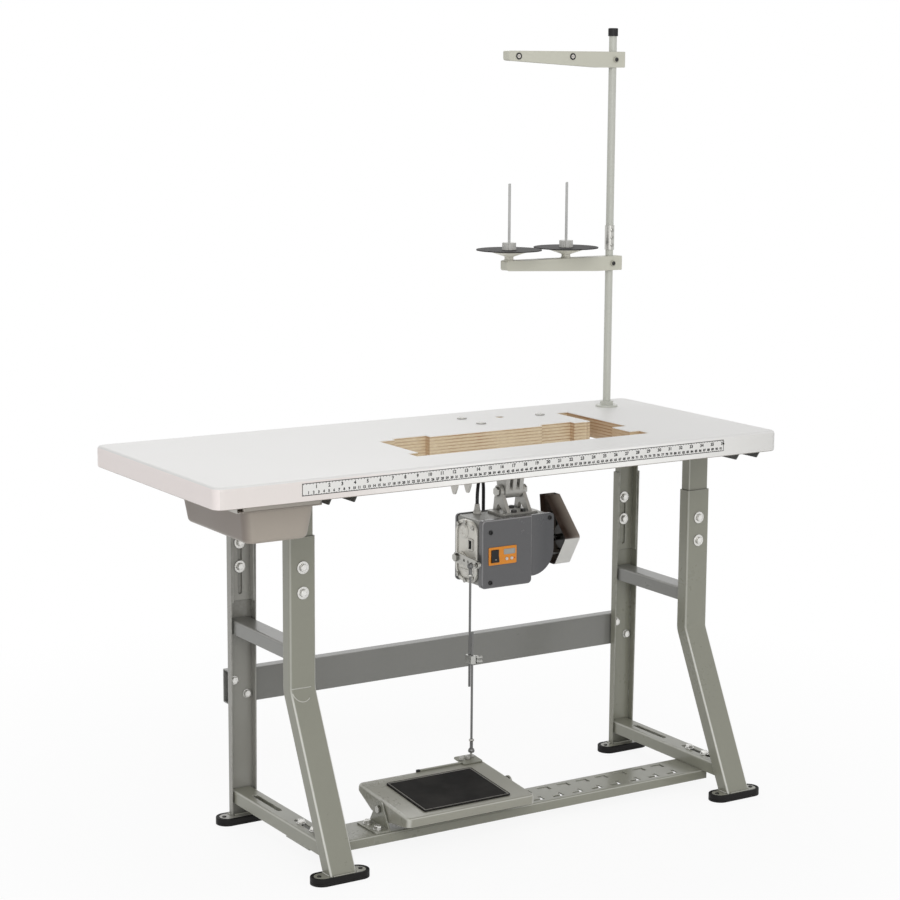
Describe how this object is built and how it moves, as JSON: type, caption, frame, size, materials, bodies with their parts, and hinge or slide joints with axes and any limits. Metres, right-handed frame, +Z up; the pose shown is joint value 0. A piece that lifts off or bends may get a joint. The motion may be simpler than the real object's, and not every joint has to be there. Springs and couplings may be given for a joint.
{
  "type": "industrial sewing machine table",
  "caption": "Industrial sewing table on a height-adjustable steel stand, with treadle pedal, under-table motor, pull-out drawer and swivelling thread stand; no machine head.",
  "frame": {"origin": "on the floor, under the middle of the overall footprint", "axes": "+X to the operator's right, +Y to the back, +Z up"},
  "size_m": [1.248, 0.51, 1.536],
  "materials": {
    "frame_paint": "semi-gloss grey paint",
    "zinc": "zinc plated",
    "table_laminate": "white laminate over plywood",
    "ruler_print": "printed strip",
    "runner_steel": "galvanised",
    "drawer_plastic": "satin moulded plastic",
    "motor_casting": "silver paint on die casting",
    "motor_cover": "satin dark grey",
    "panel_orange": "orange face plate",
    "black_plastic": "black moulded plastic",
    "button_plastic": "light grey",
    "bright_steel": "polished steel",
    "guard_plastic": "light grey moulded plastic",
    "gland_plastic": "light grey",
    "cable_rubber": "black cable jacket",
    "foot_rubber": "black rubber",
    "mat_rubber": "ribbed black rubber",
    "stand_plastic": "light grey-beige",
    "clear_plastic": "smoke translucent"
  },
  "bodies": {
    "stand": {"left_front_leg": "frame_paint", "left_rear_leg": "frame_paint", "left_lower_rail": "frame_paint", "left_upper_brace": "frame_paint", "left_pedal_bracket": "frame_paint", "right_front_leg": "frame_paint", "right_rear_leg": "frame_paint", "right_lower_rail": "frame_paint", "right_upper_brace": "frame_paint", "right_pedal_bracket": "frame_paint", "rubber_feet": "foot_rubber", "rear_crossbeam": "frame_paint", "pedal_bar": "frame_paint", "frame_bolts": "zinc", "pedal_pins": "zinc"},
    "table": {"table_top": "table_laminate", "front_ruler": "ruler_print", "left_table_support": "frame_paint", "left_front_post": "frame_paint", "left_rear_post": "frame_paint", "right_table_support": "frame_paint", "right_front_post": "frame_paint", "right_rear_post": "frame_paint", "drawer_runners": "runner_steel", "motor_base": "motor_casting", "motor_bolts": "zinc", "motor_cradle": "motor_casting", "motor_housing": "motor_casting", "motor_front_cover": "motor_cover", "motor_rear_cover": "motor_cover", "motor_end_cover": "motor_casting", "control_panel": "panel_orange", "cable_gland": "gland_plastic", "motor_cable": "cable_rubber", "belt_guard": "guard_plastic", "hanger_bracket": "runner_steel", "stand_rod_lower": "bright_steel", "stand_rod_upper": "bright_steel", "rod_coupling": "bright_steel", "stand_base": "zinc", "rod_cap": "black_plastic"},
    "drawer": {"drawer": "drawer_plastic"},
    "rocker": {"rocker_switch": "black_plastic"},
    "button_down": {"speed_down_button": "button_plastic"},
    "button_up": {"speed_up_button": "button_plastic"},
    "rotor": {"motor_shaft": "bright_steel", "motor_pulley": "bright_steel"},
    "lever": {"speed_lever": "zinc"},
    "lever_ball": {"upper_ball_stud": "zinc"},
    "upper_rod": {"upper_rod": "zinc"},
    "lower_rod": {"lower_rod": "zinc", "rod_clamp": "zinc"},
    "pedal": {"pedal": "frame_paint", "pedal_mat": "mat_rubber", "pedal_stud": "zinc"},
    "spool_arm": {"spool_arm": "stand_plastic", "spool_rests": "stand_plastic", "spool_discs": "black_plastic", "spool_pins": "clear_plastic"},
    "guide_arm": {"guide_arm": "stand_plastic"}
  },
  "joints": [
    {"name": "table_height", "type": "slide", "parent": "stand", "child": "table", "axis": [0, 0, 1], "range_m": [0, 0.05]},
    {"name": "pedal_tilt", "type": "hinge", "parent": "stand", "child": "pedal", "pos_m": [-0.051, -0.0675, 0.072], "axis": [1, 0, 0], "range_deg": [-8, 3], "stiffness_Nm_per_rad": 45},
    {"name": "lower_rod_joint", "type": "hinge", "parent": "pedal", "child": "lower_rod", "pos_m": [0.0765, 0.03947, 0.11433], "axis": [1, 0, 0], "range_deg": [-3.33, 8.56]},
    {"name": "speed_lever_turn", "type": "hinge", "parent": "table", "child": "lever", "pos_m": [0.0975, 0.131, 0.489], "axis": [1, 0, 0], "range_deg": [-4.57, 11.84]},
    {"name": "lever_ball_joint", "type": "hinge", "parent": "lever", "child": "lever_ball", "pos_m": [0.0825, 0.0575, 0.4865], "axis": [1, 0, 0], "range_deg": [-11.48, 4.43]},
    {"name": "upper_rod_swing", "type": "hinge", "parent": "lever_ball", "child": "upper_rod", "pos_m": [0.0825, 0.0575, 0.4865], "axis": [0.818, -0.5753, 0], "range_deg": [0, 0.353]},
    {"name": "drawer_slide", "type": "slide", "parent": "table", "child": "drawer", "axis": [0, -1, 0], "range_m": [0, 0.2]},
    {"name": "motor_spin", "type": "hinge", "parent": "table", "child": "rotor", "pos_m": [0.3355, 0.116, 0.508], "axis": [1, 0, 0], "continuous": true},
    {"name": "power_rocker", "type": "hinge", "parent": "table", "child": "rocker", "pos_m": [0.143, 0.0617, 0.4985], "axis": [1, 0, 0], "range_deg": [0, 12]},
    {"name": "speed_down_press", "type": "slide", "parent": "table", "child": "button_down", "axis": [0, 1, 0], "range_m": [0, 0.0012], "stiffness_N_per_m": 600},
    {"name": "speed_up_press", "type": "slide", "parent": "table", "child": "button_up", "axis": [0, 1, 0], "range_m": [0, 0.0012], "stiffness_N_per_m": 600},
    {"name": "spool_arm_swivel", "type": "hinge", "parent": "table", "child": "spool_arm", "pos_m": [0.4895, 0.171, 1.06], "axis": [0, 0, 1], "continuous": true},
    {"name": "guide_arm_swivel", "type": "hinge", "parent": "table", "child": "guide_arm", "pos_m": [0.4895, 0.171, 1.475], "axis": [0, 0, 1], "continuous": true}
  ],
  "couplings": [
    {"joint": "lower_rod_joint", "follows": "pedal_tilt", "ratio": -1.045},
    {"joint": "speed_lever_turn", "follows": "pedal_tilt", "ratio": -1.4554},
    {"joint": "lever_ball_joint", "follows": "pedal_tilt", "ratio": 1.4104},
    {"joint": "upper_rod_swing", "follows": "table_height", "rad_per_m": 0.11842}
  ]
}
